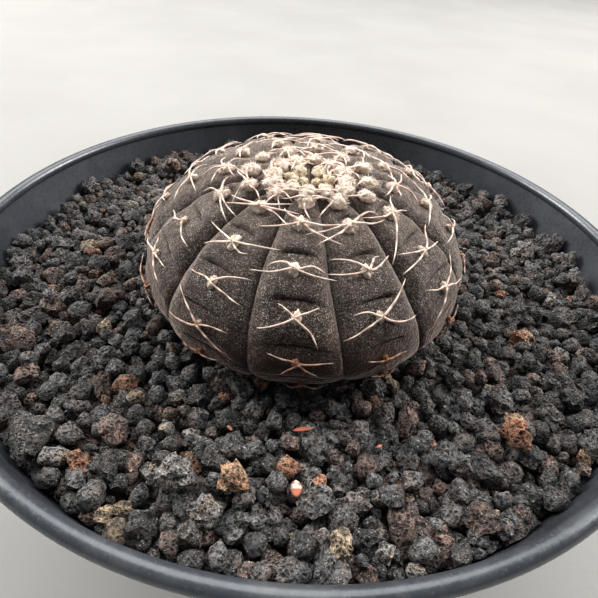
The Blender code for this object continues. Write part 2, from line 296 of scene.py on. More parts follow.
# %% The smooth globe
APEX_DIMPLE = 1.3 * MM
APEX_PULL = 4.0 * MM
PULL_REACH_FRONT, PULL_REACH_BACK = 8.5 * MM, 22 * MM
APEX_DIMPLE_START = math.radians(66)
ROOT_SHOULDER = math.radians(-52)


def section(latitude):
    """Radius and height of the smooth form at a latitude, in the stem's own frame."""
    c, s = np.abs(np.cos(latitude)), np.sin(latitude)
    swell = (c ** FULLNESS + np.abs(s) ** FULLNESS) ** (-1 / FULLNESS)
    half = np.where(s > 0, DOME, UNDERSIDE)
    dip = np.clip((latitude - APEX_DIMPLE_START) / (math.pi / 2 - APEX_DIMPLE_START), 0, 1)
    return STEM_RADIUS * c * swell, half * s * swell - APEX_DIMPLE * dip ** 2


def smoothstep(value, low, high):
    t = np.clip((value - low) / (high - low), 0, 1)
    return t * t * (3 - 2 * t)


def pull(longitude, latitude):
    """How far a place is drawn to the front, because the growing point isn't quite at the top."""
    back = (1 - np.cos(longitude)) / 2
    reach = PULL_REACH_FRONT + (PULL_REACH_BACK - PULL_REACH_FRONT) * back
    share = np.where(latitude > 0, section(latitude)[0] / reach, 1)
    return APEX_PULL * np.clip(1 - share ** 2, 0, 1) ** 2


# %% Ribs that wander a little on their way down
RIB_LEANS = (3.9, 0.8, 0.3, -1.2, 1.5, 0.4, -1.8, 1.0, -0.6, 0.9, 0.4, 2.0)
LEAN_START, LEAN_SPAN = 46, 34


def crest(rib, latitude):
    """Longitude of a rib's crest, which strays by its own few degrees towards the base."""
    down = np.clip((LEAN_START - np.degrees(latitude)) / LEAN_SPAN, 0, 1.6)
    lean = np.radians(np.array(RIB_LEANS)[np.asarray(rib) % RIBS])
    return STEM_TURN + rib * RIB_ANGLE + lean * down


def nearest_rib(longitude, latitude):
    """Which rib a place belongs to, and how far it is from crest (0) to furrow (1)."""
    rib = np.floor((longitude - STEM_TURN) / RIB_ANGLE).astype(int)
    rib = np.where(longitude < crest(rib, latitude), rib - 1, rib)
    rib = np.where(longitude >= crest(rib + 1, latitude), rib + 1, rib)
    share = (longitude - crest(rib, latitude)) / (crest(rib + 1, latitude) - crest(rib, latitude))
    return np.where(share < 0.5, rib, rib + 1), 1 - np.abs(1 - 2 * np.abs(share - np.round(share)))


# %% Rows of areoles
ROWS = (-6, 9.8, 29, 46, 62, 71.5, 79)
ROW_SHIFTS = (0, -3, -8, 0, -2, 3, -6, 2, -4, -2, -8, 4)


def row_latitudes(rib):
    """Latitudes of one rib's areoles, lowest first. Each rib is shifted, less so near the crown."""
    shift = ROW_SHIFTS[rib % RIBS]
    return [math.radians(row + shift * math.cos(math.radians(row))) for row in ROWS]


def crease_latitudes(rib):
    """A crease lies a little above each areole, under the next tubercle's chin."""
    rows = row_latitudes(rib)
    rows = [2 * rows[0] - rows[1]] + rows + [math.radians(86)]
    return [low + 0.42 * (high - low) for low, high in zip(rows, rows[1:])]


# %% Relief of ribs, furrows, creases and chins
FURROW = 2.6 * MM
CREASE = 0.65 * MM
CHIN = 0.52 * MM


def relief(longitude, latitude):
    """Depth of the real surface inside the smooth form, with masks for the skin's colours and its painted
    shade.
    """
    rib, across = nearest_rib(longitude, latitude)
    degrees = np.degrees(latitude)
    shoulder = smoothstep(degrees, 4, 44)
    valley = np.clip((across - 0.64) / 0.36, 0, 1)
    crack = np.clip((across - 0.91) / 0.09, 0, 1)
    furrow = (0.05 + 0.05 * shoulder) * across ** 2 + (0.10 + 0.44 * shoulder) * valley ** 1.3
    furrow += (0.12 + 0.12 * shoulder) * crack ** 1.2
    furrow *= 0.5 + 0.5 * smoothstep(degrees, -30, 12)
    below = np.zeros_like(latitude)
    for number in range(RIBS):
        mine = (rib % RIBS) == number
        creases = np.array(crease_latitudes(number))
        # the creases arch: their ends hang lower than their middle
        local = latitude[mine] + math.radians(4.5) * across[mine] ** 2
        slot = np.clip(np.searchsorted(creases, local), 1, len(creases) - 1)
        top, bottom = creases[slot], creases[slot - 1]
        below[mine] = np.clip((top - local) / (top - bottom), 0, 1)
    sideways = 1 - smoothstep(across, 0.30, 0.56)
    grown = smoothstep(degrees, -32, -8) * (0.55 + 0.45 * smoothstep(degrees, 2, 34))
    line = np.exp(-(below / 0.034) ** 2) + np.exp(-((1 - below) / 0.018) ** 2)
    swelling = 1 - np.exp(-((below - 0.70) / 0.38) ** 2)
    depth = FURROW * furrow + sideways * grown * CREASE * line
    depth += (1 - 0.9 * across ** 1.5) * grown * CHIN * swelling
    calm = smoothstep(latitude, ROOT_SHOULDER, ROOT_SHOULDER + math.radians(24))
    depth = depth * calm * np.cos(latitude) ** 0.45
    chin = sideways * np.exp(-((below - 0.74) / 0.24) ** 2) * grown
    # painted shade: a dark line along each crease under a chin and along each furrow's floor
    dark = np.clip(line * sideways * grown + smoothstep(across, 0.955, 0.995), 0, 1)
    return depth, chin, smoothstep(across, 0.50, 0.95), dark


def skin_point(longitude, latitude, lift=0.0, smooth=False):
    """A point on the skin or over it, in world coordinates, with its outward direction."""
    step = math.radians(0.4)
    radius, height = section(latitude)
    next_radius, next_height = section(latitude + step)
    run = Vector((next_radius - radius, next_height - height)).normalized()
    outward = Vector((run.y * math.sin(longitude), -run.y * math.cos(longitude), -run.x))
    depth = 0.0 if smooth else float(relief(np.array([longitude]), np.array([latitude]))[0][0])
    base = Vector((radius * math.sin(longitude),
                   -radius * math.cos(longitude) - pull(longitude, latitude), height))
    return STEM_FRAME @ (base + outward * (lift - depth)), (STEM_FRAME.to_3x3() @ outward).normalized()

# %% [markdown]
# ## Skin
# The skin is a dull grey-brown with a dense grain of fine pale specks, greyer along the furrows, browner
# on the chins and darker there with painted shade, and painted paler near the crown as light from above. The
# specks are far too small to model, so they are colour and a fine bump. A sheen lightens the surface where
# it turns away, as a waxy bloom does. Close to the grit, painted shade darkens skin, wool and spines to a
# deep red-brown, and that shade is a group that all three materials share.


# %% Shading towards the foot of the plant
def make_foot_shade():
    tree, nodes, inputs, output = new_group(
        "foot_shade", {"Color": (0.5, 0.5, 0.5), "Old": (0.03, 0.02, 0.015), "Amount": 0.85},
        {"Color": "NodeSocketColor"})
    place = nodes.object_place()
    split = nodes.add("ShaderNodeSeparateXYZ")
    nodes.wire(place, split, 0)
    uneven = nodes.math("MULTIPLY", nodes.noise(place, 300.0, 3.0), 3.0 * MM)
    height = nodes.math("SUBTRACT", split.outputs["Z"], uneven)
    # painted shade: colours turn a dark red-brown towards the grit, where the foot of the plant is in shade
    low = nodes.span(height, GRIT_TOP + 3.5 * MM, GRIT_TOP + 12.0 * MM, 1.0, 0.0)
    amount = nodes.math("MULTIPLY", low, inputs["Amount"])
    nodes.wire(nodes.mix(amount, inputs["Color"], inputs["Old"]), output, "Color")
    return tree


FOOT_SHADE = make_foot_shade()


# %% Skin material
def make_skin():
    material, nodes, shader = new_material(
        "cactus_skin", Roughness=0.60, Sheen_Weight=0.92, Sheen_Roughness=0.25,
        Sheen_Tint=(1.0, 0.84, 0.74, 1.0), Specular_IOR_Level=0.18)
    place = nodes.object_place()
    chin, flank, dark = nodes.tone()[:3]
    cloud = nodes.noise(place, 190.0, 4.0)
    ground = nodes.mix(nodes.span(cloud, 0.36, 0.66), (0.017, 0.009, 0.007), (0.030, 0.020, 0.016))
    # the chins are browner, and are also made darker with painted shade where they face down
    ground = nodes.mix(nodes.math("MULTIPLY", chin, 0.70), ground, (0.015, 0.007, 0.005))
    ground = nodes.mix(nodes.math("MULTIPLY", flank, 0.50), ground, (0.038, 0.029, 0.025))
    patch = nodes.span(nodes.noise(place, 95.0, 3.0), 0.58, 0.72)
    ground = nodes.mix(nodes.math("MULTIPLY", patch, 0.40), ground, (0.130, 0.056, 0.038))
    # a dense pale grain, thickest along the furrows, and here and there a brighter speck
    grain = nodes.noise(place, 4700.0, 2.0, 0.8)
    crowded = nodes.span(flank, 0.0, 1.0, 0.50, 0.90)
    peak = nodes.math("MULTIPLY", nodes.span(grain, 0.48, 0.62), crowded)
    colour = nodes.mix(peak, ground, (0.215, 0.178, 0.154))
    strong = nodes.span(nodes.noise(place, 1500.0, 3.0), 0.40, 0.64)
    speck = nodes.span(nodes.cells(place, 4900.0).outputs["Distance"], 0.40, 0.20)
    colour = nodes.mix(nodes.math("MULTIPLY", speck, strong), colour, (0.50, 0.455, 0.405))
    # painted light: the skin is made paler high on the shoulders, where light from above falls
    split = nodes.add("ShaderNodeSeparateXYZ")
    nodes.wire(place, split, 0)
    young = nodes.span(split.outputs["Z"], GRIT_TOP + 12 * MM, GRIT_TOP + 22 * MM, 0.0, 0.26)
    colour = nodes.mix(young, colour, (0.225, 0.178, 0.150))
    colour = use_group(nodes, FOOT_SHADE, Color=colour, Old=(0.024, 0.009, 0.007), Amount=0.95)["Color"]
    # painted shade: the creases and furrow floors are darkened, broken up by the grain
    broken = nodes.span(grain, 0.40, 0.56, 0.95, 0.55)
    colour = nodes.mix(nodes.math("MULTIPLY", dark, broken), colour, (0.010, 0.007, 0.006))
    nodes.wire(colour, shader, "Base Color")
    wrinkles = nodes.noise(place, 850.0, 4.0, 0.6)
    height = nodes.math("ADD", nodes.math("MULTIPLY", grain, 0.5), wrinkles)
    nodes.wire(nodes.bump(height, 0.00032, 1.0), shader, "Normal")
    return material


# %% [markdown]
# The stem starts as a sphere of many segments. Its vertices are moved, so no face is made by hand:
# meridians crowd towards the furrows, where the form turns most, and the lower rings close into the
# shoulder and the taproot, which the grit and the mix hide.


# %% Stem
STEPS_PER_RIB = 26
BODY_RINGS = 236
ROOT_RINGS = 12
ROOT_RADIUS = 5.5 * MM
ROOT_LENGTH = 19 * MM


def make_stem(skin):
    rings = BODY_RINGS + ROOT_RINGS
    bm = bmesh.new()
    bmesh.ops.create_uvsphere(bm, u_segments=RIBS * STEPS_PER_RIB, v_segments=rings, radius=1.0)
    mesh = mesh_of(bm, "stem_ball")
    ball = coordinates(mesh)
    ring = (np.pi / 2 - np.arcsin(np.clip(ball[:, 2], -1, 1))) / np.pi * rings
    latitude = np.pi / 2 - (np.pi / 2 - ROOT_SHOULDER) * np.clip(ring / BODY_RINGS, 0, 1)
    turns = np.arctan2(ball[:, 0], -ball[:, 1]) / RIB_ANGLE
    rib = np.floor(turns + 1e-6).astype(int)
    share = 2 * (turns - rib) - 1
    share = 0.5 + 0.5 * np.sign(share) * np.abs(share) ** 1.5
    longitude = crest(rib, latitude) + share * (crest(rib + 1, latitude) - crest(rib, latitude))
    radius, height = section(latitude)
    depth, chin, flank, crease = relief(longitude, latitude)
    step = 1e-3
    radius_up, height_up = section(latitude + step)
    run = np.stack([radius_up - radius, height_up - height])
    run /= np.linalg.norm(run, axis=0) + 1e-12
    radius = radius - run[1] * depth
    height = height + run[0] * depth
    down = np.clip((ring - BODY_RINGS) / ROOT_RINGS, 0, 1)
    neck = smoothstep(down, 0, 0.35)
    taper = ROOT_RADIUS * (1 - 0.8 * down ** 1.5) * np.sqrt(np.clip(1 - down ** 8, 0, 1))
    radius = np.where(down > 0, radius * (1 - neck) + taper * neck, radius)
    height = height - ROOT_LENGTH * down
    apex = ball[:, 2] > 1 - 1e-7
    radius[apex] = 0.0
    points = np.stack([radius * np.sin(longitude),
                       -radius * np.cos(longitude) - pull(longitude, latitude), height], axis=1)
    wobble = np.array([noise.noise(Vector(point) * 130) + 0.35 * noise.noise(Vector(point) * 420)
                       for point in points]) * 0.35 * MM
    outward = np.stack([run[1] * np.sin(longitude), -run[1] * np.cos(longitude), -run[0]], axis=1)
    points += outward * (wobble * (down == 0) * (1 - crease))[:, None]
    turn = np.array(STEM_FRAME)
    points = points @ turn[:3, :3].T + turn[:3, 3]
    with_tone(mesh)
    bm = bmesh.new()
    # the tone carries the chins, the flanks and the painted shade of creases and furrows
    tones = np.stack([chin, flank, crease, np.ones_like(chin)], axis=1)
    place_copy(bm, mesh, points, tones)
    bmesh.ops.recalc_face_normals(bm, faces=bm.faces)
    stem = finish_piece("cactus_stem_skin", bm, skin)
    return belongs(stem, "cactus_skin", "cactus_stem")


stem = make_stem(make_skin())
print("stem faces:", len(stem.data.polygons))

# %% [markdown]
# ## Areoles
# Each areole is an oval pad of cream wool on its rib's crest, larger towards the crown. A lumpy ball
# gives its body, and many short hairs break its outline, so that it reads as felt and not as plastic.
# Old areoles low on the plant are weathered to amber.


# %% Wool material
def make_wool(name, young, old):
    material, nodes, shader = new_material(
        name, Roughness=0.9, Sheen_Weight=0.08, Sheen_Roughness=0.6, Specular_IOR_Level=0.1)
    place = nodes.object_place()
    age, root, _ = nodes.tone()[:3]
    tuft = nodes.noise(place, 2600.0, 4.0)
    # painted shade: the wool is darker in the hollows between its tufts
    hollow_shade = (0.78 * young[0], 0.66 * young[1], 0.54 * young[2])
    colour = nodes.mix(nodes.span(tuft, 0.36, 0.56), hollow_shade, young)
    colour = nodes.mix(age, colour, old)
    # painted shade: the wool is darker at the pad's root, where it meets the skin
    colour = nodes.mix(nodes.math("MULTIPLY", root, 0.55), colour, tuple(0.45 * c for c in old))
    colour = use_group(nodes, FOOT_SHADE, Color=colour, Old=(0.10, 0.040, 0.022), Amount=0.85)["Color"]
    nodes.wire(colour, shader, "Base Color")
    nodes.wire(nodes.bump(tuft, 0.00012, 0.9), shader, "Normal")
    return material


# %% Wool pads and their hairs
HAIRS_PER_PAD = 150
HAIR_WIDTH = 0.050 * MM


def surface_axes(longitude, latitude, lift):
    """A place on the skin with its sideways, upward and outward directions."""
    centre, outward = skin_point(longitude, latitude, lift)
    above, _ = skin_point(longitude, latitude + 0.01, lift, smooth=True)
    level, _ = skin_point(longitude, latitude, lift, smooth=True)
    upward = above - level
    upward = (upward - outward * upward.dot(outward)).normalized()
    return centre, upward.cross(outward), upward, outward


def ball_template():
    bm = bmesh.new()
    bmesh.ops.create_icosphere(bm, subdivisions=3, radius=1.0)
    return with_tone(mesh_of(bm, "pad_ball"))


def hair_template():
    bm = bmesh.new()
    bmesh.ops.create_cone(bm, cap_ends=True, segments=3, radius1=1.0, radius2=0.0, depth=1.0,
                          matrix=Matrix.Translation((0, 0, 0.5)))
    bmesh.ops.remove_doubles(bm, verts=bm.verts, dist=1e-6)
    return with_tone(mesh_of(bm, "hair"))


PAD_BALL = ball_template()
PAD_POINTS = coordinates(PAD_BALL)
HAIR = hair_template()
HAIR_POINTS = coordinates(HAIR)


def add_hair(bm, root, heading, length, width, tone):
    """A thin cone from a root point along a heading."""
    turn = np.array(heading.to_track_quat("Z", "Y").to_matrix())
    points = HAIR_POINTS * (width, width, length) @ turn.T + np.array(root)
    place_copy(bm, HAIR, points, np.tile(tone, (len(points), 1)))


def add_pad(bm, dice, axes, size, age):
    """A lumpy oval ball sunk a little in the skin, with hairs that lean outwards and downwards."""
    centre, sideways, upward, outward = axes
    seed = Vector((dice.random(), dice.random(), dice.random())) * 90
    frame_axes = np.array([sideways * size.x, upward * size.y, outward * size.z])
    lumps = np.array([0.96 + 0.46 * noise.noise(Vector(p) * 1.9 + seed)
                      + 0.22 * noise.noise(Vector(p) * 4.6 + seed) for p in PAD_POINTS])
    points = (PAD_POINTS * lumps[:, None]) @ frame_axes + np.array(centre)
    tones = np.zeros((len(points), 4))
    tones[:, 0] = age
    # the green tone marks the pad's side towards the skin, for the painted shade there
    tones[:, 1] = np.clip(0.30 - PAD_POINTS[:, 2], 0, 1)
    place_copy(bm, PAD_BALL, points, tones)
    for _ in range(HAIRS_PER_PAD):
        way = Vector((dice.gauss(0, 1), dice.gauss(-0.35, 1), abs(dice.gauss(0.3, 0.8)))).normalized()
        root = centre + sideways * way.x * size.x + upward * way.y * size.y + outward * way.z * size.z
        root = centre + (root - centre) * 0.8
        lean = Vector((way.x + dice.uniform(-0.6, 0.6), way.y - 0.3 + dice.uniform(-0.6, 0.6),
                       way.z * 0.7 + dice.uniform(-0.3, 0.4)))
        heading = (sideways * lean.x + upward * lean.y + outward * lean.z).normalized()
        length = size.x * dice.uniform(0.30, 0.70)
        add_hair(bm, root, heading, length, HAIR_WIDTH * dice.uniform(0.7, 1.3), (age, 0, 0, 1))


def pad_size(latitude):
    """Half sizes of an areole: small and narrow on the flanks, broad and thick near the crown."""
    grown = smoothstep(math.degrees(latitude), 8, 30)
    young = smoothstep(math.degrees(latitude), 38, 74)
    return Vector((0.40 + 0.13 * grown + 0.50 * young, 0.56 + 0.34 * grown + 0.20 * young,
                   0.32 + 0.10 * grown + 0.24 * young)) * MM


def pad_age(latitude):
    return float(1 - smoothstep(math.degrees(latitude), 6, 17))


def make_areoles(wool):
    for rib in range(RIBS):
        dice = random.Random(100 + rib)
        bm = toned_bmesh()
        for latitude in row_latitudes(rib):
            longitude = float(crest(rib, latitude)) + math.radians(dice.uniform(-0.8, 0.8))
            size = pad_size(latitude) * dice.uniform(0.88, 1.14)
            axes = surface_axes(longitude, latitude, size.z * 0.40)
            add_pad(bm, dice, axes, size, pad_age(latitude))
        pads = finish_piece(f"areoles_rib_{rib + 1:02d}", bm, wool)
        belongs(pads, "wool")


WOOL = make_wool("areole_wool", (0.69, 0.60, 0.53), (0.46, 0.19, 0.070))
make_areoles(WOOL)

# %% [markdown]
# ## Spines
# Spines are thin, tapered and wavy, and lie along the skin instead of standing out. Each is a short
# tube, extruded once as a straight pattern, whose rings are then laid along a path walked over the
# globe. Areoles carry up to two pairs to the sides. The ones that face front have bearings and lengths
# of their own, and the rest are drawn from a seeded pattern, fewer and shorter towards the crown.


# %% Spine material
def make_spine_material():
    material, nodes, shader = new_material("spine", Roughness=0.5, Specular_IOR_Level=0.4)
    place = nodes.object_place()
    along, age, shade = nodes.tone()[:3]
    streak = nodes.noise(place, 1500.0, 3.0)
    young = nodes.mix(nodes.span(streak, 0.32, 0.62), (0.62, 0.46, 0.38), (0.82, 0.70, 0.63))
    young = nodes.mix(nodes.math("MULTIPLY", shade, 0.40), young, (0.52, 0.34, 0.24))
    old = nodes.mix(nodes.span(streak, 0.35, 0.68), (0.30, 0.105, 0.030), (0.58, 0.27, 0.090))
    weathered = nodes.math("MULTIPLY", age, nodes.span(along, 0.15, 0.70, 1.0, 0.12))
    colour = nodes.mix(weathered, young, old)
    colour = nodes.mix(nodes.span(along, 0.22, 0.0, 0.0, 0.45), colour, (0.60, 0.40, 0.25))
    colour = nodes.mix(nodes.span(along, 0.88, 1.0, 0.0, 0.5), colour, (0.34, 0.24, 0.18))
    colour = use_group(nodes, FOOT_SHADE, Color=colour, Old=(0.105, 0.036, 0.022), Amount=0.80)["Color"]
    nodes.wire(colour, shader, "Base Color")
    nodes.wire(nodes.bump(streak, 0.00004, 0.6), shader, "Normal")
    return material


# %% A spine laid along a path
SPINE_SIDES = 6
SPINE_RINGS = 10
SPINE_RADIUS = 0.170 * MM
SPINE_TIP_RADIUS = 0.06 * MM


def spine_template():
    """A closed straight tube one unit wide, whose rings stand at heights 0, 1, 2 and so on."""
    bm = bmesh.new()
    ring = bmesh.ops.create_circle(bm, cap_ends=True, segments=SPINE_SIDES, radius=1.0)["verts"]
    face = ring[0].link_faces[0]
    for _ in range(SPINE_RINGS - 1):
        face = bmesh.ops.extrude_face_region(bm, geom=[face])["geom"]
        face = [item for item in face if isinstance(item, bmesh.types.BMFace)][0]
        bmesh.ops.translate(bm, vec=(0, 0, 1), verts=face.verts)
    bmesh.ops.recalc_face_normals(bm, faces=bm.faces)
    return with_tone(mesh_of(bm, "straight_spine"))


SPINE = spine_template()
SPINE_POINTS = coordinates(SPINE)
SPINE_RING = np.round(SPINE_POINTS[:, 2]).astype(int)


def lay_spine(bm, path, width, tone):
    """Bend the straight pattern along a path of as many points as it has rings."""
    path = np.array(path)
    heading = np.gradient(path, axis=0)
    heading /= np.linalg.norm(heading, axis=1)[:, None]
    side = np.cross(heading, (0.13, 0.29, 0.95))
    side /= np.linalg.norm(side, axis=1)[:, None]
    other = np.cross(heading, side)
    along = SPINE_RING / (SPINE_RINGS - 1)
    # full width where it leaves the wool, then an even taper to the tip
    radius = width * (SPINE_RADIUS + (SPINE_TIP_RADIUS - SPINE_RADIUS) * along)
    radius[SPINE_RING == SPINE_RINGS - 1] *= 0.35
    points = (path[SPINE_RING] + side[SPINE_RING] * (SPINE_POINTS[:, :1] * radius[:, None])
              + other[SPINE_RING] * (SPINE_POINTS[:, 1:2] * radius[:, None]))
    tones = np.tile(tone, (len(points), 1))
    tones[:, 0] = along
    place_copy(bm, SPINE, points, tones)


def walk(longitude, latitude, bearing, length, bow, lifts):
    """A path over the smooth globe. Bearing 0 runs up the rib and 90 towards the next rib."""
    start, middle, end = lifts
    step = length / (SPINE_RINGS - 1)
    path = []
    for index in range(SPINE_RINGS):
        along = index / (SPINE_RINGS - 1)
        lift = start * (1 - along) + end * along + middle * math.sin(math.pi * along)
        point, _ = skin_point(longitude, latitude, lift, smooth=True)
        path.append(point)
        radius, height = section(latitude)
        above = section(latitude + 0.01)
        pace = math.hypot(above[0] - radius, above[1] - height) / 0.01
        heading = bearing + bow * (along - 0.35)
        longitude += step * math.sin(heading) / max(radius, 2 * MM)
        latitude = min(latitude + step * math.cos(heading) / pace, math.radians(89))
    return path


# %% The front areoles' own spines: (rib, row): bearing in degrees, length in mm, bow in degrees
FRONT_SPINES = {
    (0, 4): ((250, 5.0, 10), (95, 5.0, -15), (122, 5.5, -20), (300, 3.0, 20)),
    (0, 3): ((254, 5.2, 5), (276, 3.3, -100), (90, 3.8, 70), (106, 5.0, -5)),
    (0, 2): ((305, 2.7, -25), (64, 3.0, 10), (244, 4.6, 18), (138, 4.6, 35)),
    (0, 1): ((285, 3.8, -20), (88, 4.2, 10), (230, 3.0, -10), (128, 3.2, 15)),
    (0, 0): ((262, 2.2, 0), (98, 2.6, 0)),
    (1, 4): ((262, 5.5, -12), (243, 5.2, 0), (80, 4.5, 45), (105, 4.8, -15)),
    (1, 3): ((300, 4.8, -50), (272, 5.0, 15), (50, 2.4, 80), (78, 3.4, -40)),
    (1, 2): ((290, 3.8, -60), (250, 5.5, 0), (55, 5.6, 5), (112, 5.2, -50)),
    (1, 1): ((92, 3.0, 0), (275, 2.8, 20), (200, 2.0, 0)),
    (2, 4): ((60, 3.4, 15), (118, 3.0, -30), (285, 4.6, 40), (222, 7.5, 15)),
    (2, 3): ((290, 5.0, 0), (262, 5.5, 0), (60, 4.0, 10), (105, 3.2, 0)),
    (2, 2): ((62, 5.0, 0), (112, 5.0, 0), (295, 4.2, -20), (235, 5.2, 0)),
    (2, 1): ((75, 3.0, 0), (215, 3.0, 10), (120, 2.8, 0)),
    (3, 3): ((65, 4.5, 20), (265, 5.0, 0), (110, 3.0, 0)),
    (3, 2): ((285, 5.6, -15), (355, 3.0, 20), (105, 3.2, 0)),
    (3, 1): ((250, 3.0, 0), (110, 2.6, 0)),
    (11, 4): ((255, 5.0, 15), (240, 5.0, 10), (105, 5.0, 20), (85, 5.0, -10), (30, 3.2, 30), (62, 4.2, 0)),
    (11, 3): ((275, 4.5, 0), (235, 4.0, 15), (80, 6.0, -5), (110, 3.0, -80)),
    (11, 2): ((270, 3.4, -20), (62, 5.2, 45), (102, 5.0, 0)),
    (11, 1): ((305, 5.5, -15), (258, 5.0, 25), (75, 4.4, 40), (112, 5.2, 0)),
    (11, 0): ((285, 3.6, 0), (80, 3.6, 10), (215, 2.4, 0)),
    (10, 5): ((255, 4.2, 0), (150, 4.4, 0), (105, 4.4, 15)),
    (10, 4): ((300, 3.6, 0), (230, 3.2, -40), (98, 5.2, 0), (112, 5.0, 0)),
    (10, 3): ((255, 3.8, 20), (105, 4.6, -20), (215, 3.4, -90)),
    (10, 2): ((320, 3.4, 0), (262, 4.2, -20), (80, 4.0, 20), (112, 5.0, 20)),
}


# %% Spines drawn from a pattern
def drawn_spines(dice, latitude):
    """Up to two pairs of side spines, fewer near the crown, and now and then one that points elsewhere."""
    young = float(smoothstep(math.degrees(latitude), 48, 72))
    bearings = [66, 108, 252, 294]
    if dice.random() < 0.30:
        bearings.append(dice.choice((150, 180, 210)))
    if dice.random() < 0.30 * young:
        bearings.append(dice.choice((25, 335)))
    while len(bearings) > 1 and dice.random() < 0.28 + 0.42 * young:
        bearings.pop(dice.randrange(len(bearings)))
    longest = 5.2 - 1.9 * float(smoothstep(math.degrees(latitude), 60, 80))
    if latitude < 0:
        longest = 3.0
    return [(bearing + dice.uniform(-20, 20), longest * dice.uniform(0.55, 1.05), dice.uniform(-50, 50))
            for bearing in bearings]


SWAY = 0.15 * MM
SWAY_WAVES = 4.2 * 1.6


def lay_cluster(bm, dice, longitude, latitude, pattern, height, age):
    """Lay each of an areole's spines, given as bearing, length and bow, from the pad's top."""
    for bearing, length, bow in pattern:
        lifts = (height * dice.uniform(0.6, 1.1), dice.uniform(0.10, 0.36) * MM,
                 dice.uniform(0.10, 0.42) * MM)
        path = walk(longitude, latitude, math.radians(bearing), length * MM, math.radians(bow), lifts)
        sway = Vector([dice.uniform(-1, 1) for _ in range(3)]) * SWAY
        turn = dice.uniform(0, 6.28)
        path = [point + sway * math.sin(SWAY_WAVES * index / (SPINE_RINGS - 1) + turn) * (index > 0)
                for index, point in enumerate(path)]
        lay_spine(bm, path, dice.uniform(0.82, 1.10), (0, age, dice.random(), 1))


def make_spines(material):
    total = 0
    for rib in range(RIBS):
        dice = random.Random(900 + rib)
        bm = toned_bmesh()
        for row, latitude in enumerate(row_latitudes(rib)):
            pattern = FRONT_SPINES.get((rib, row)) or drawn_spines(dice, latitude)
            age = min(1.0, pad_age(latitude) * dice.uniform(0.8, 1.1))
            lay_cluster(bm, dice, float(crest(rib, latitude)), latitude, pattern,
                        pad_size(latitude).z, age)
            total += len(pattern)
        spines = finish_piece(f"spines_rib_{rib + 1:02d}", bm, material)
        belongs(spines, "spines", *[f"spines_rib{rib + 1:02d}_row{row}" for row in range(1, 5)])
    print("spines:", total)


SPINE_MATERIAL = make_spine_material()
make_spines(SPINE_MATERIAL)

# %% [markdown]
# ## Crown
# Over the sunken growing point the newest areoles are too young to have a rib of their own. A ring of
# small tufts and a few still smaller ones at the centre fill it. About every other tuft of the outer
# ring has one short spine.


# %% Crown tufts and spines
CROWN_RINGS = ((84.0, 7, 0.86), (87.6, 3, 0.62))


def make_crown(wool, material):
    dice = random.Random(41)
    tufts, spines = toned_bmesh(), toned_bmesh()
    for degrees, count, scale in CROWN_RINGS:
        for index in range(count):
            longitude = 2 * math.pi * (index + dice.uniform(-0.2, 0.2)) / count
            latitude = math.radians(degrees)
            size = Vector((1.0, 1.1, 0.9)) * MM * scale
            add_pad(tufts, dice, surface_axes(longitude, latitude, size.z * 0.4), size, 0.12)
            if index % 2 == 0 and degrees < 86:
                pattern = [(dice.uniform(110, 250), dice.uniform(2.0, 3.2), dice.uniform(-30, 30))]
                lay_cluster(spines, dice, longitude, latitude, pattern, size.z, 0.0)
    belongs(finish_piece("crown_tufts", tufts, wool), "wool", "crown_wool")
    belongs(finish_piece("crown_spines", spines, material), "spines")


make_crown(make_wool("crown_wool", (0.65, 0.57, 0.455), (0.46, 0.37, 0.20)), SPINE_MATERIAL)

# %% [markdown]
# ## Lava
# The top dressing is crushed lava: dull, angular and full of gas pores. One node group gives the pores,
# darkened inside by painted shade, and the pale crystals, and each colour of stone is a material with its
# own pair of tints.


# %% Pitted rock, shared by all stones
def make_pitted_rock():
    tree, nodes, inputs, output = new_group(
        "pitted_rock",
        {"Dark": (0.02, 0.02, 0.02), "Light": (0.10, 0.10, 0.10), "Stain": (0.2, 0.1, 0.1),
         "Stained": 0.3, "Crystal": 0.4, "Tone": 0.5},
        {"Color": "NodeSocketColor", "Height": "NodeSocketFloat"})
    place = nodes.object_place()
    warp = nodes.add("ShaderNodeTexNoise")
    nodes.wire(place, warp, "Vector")
    nodes.wire(1100.0, warp, "Scale")
    shift = nodes.add("ShaderNodeVectorMath", operation="MULTIPLY_ADD")
    nodes.wire(warp.outputs["Color"], shift, 0)
    shift.inputs[1].default_value = (0.0007, 0.0007, 0.0007)
    nodes.wire(place, shift, 2)
    # gas pores of two sizes, darkened inside by painted shade, with a paler web of rock left standing
    # between them
    coarse = nodes.span(nodes.cells(shift.outputs["Vector"], 1900.0).outputs["Distance"], 0.14, 0.58)
    fine = nodes.span(nodes.cells(shift.outputs["Vector"], 4200.0).outputs["Distance"], 0.10, 0.55)
    lump = nodes.noise(place, 800.0, 6.0, 0.75)
    web = nodes.math("MULTIPLY", coarse, nodes.span(fine, 0.0, 1.0, 0.30, 1.0))
    height = nodes.math("ADD", nodes.math("MULTIPLY", web, 0.7), nodes.math("MULTIPLY", lump, 1.2))
    # painted shade also darkens the low parts of the lumps
    level = nodes.math("MULTIPLY", nodes.span(lump, 0.34, 0.66, 0.20, 1.0), web)
    shade = nodes.math("MULTIPLY", level, nodes.span(inputs["Tone"], 0.0, 1.0, 0.50, 1.35))
    blotch = nodes.span(nodes.noise(place, 420.0, 3.0), 0.48, 0.60)
    rock = nodes.mix(nodes.math("MULTIPLY", blotch, inputs["Stained"]), inputs["Light"], inputs["Stain"])
    colour = nodes.mix(shade, inputs["Dark"], rock)
    spark = nodes.span(nodes.noise(place, 3900.0, 1.0), 0.62, 0.72)
    colour = nodes.mix(nodes.math("MULTIPLY", spark, inputs["Crystal"]), colour, (0.58, 0.56, 0.52))
    nodes.wire(colour, output, "Color")
    nodes.wire(height, output, "Height")
    return tree


PITTED_ROCK = make_pitted_rock()


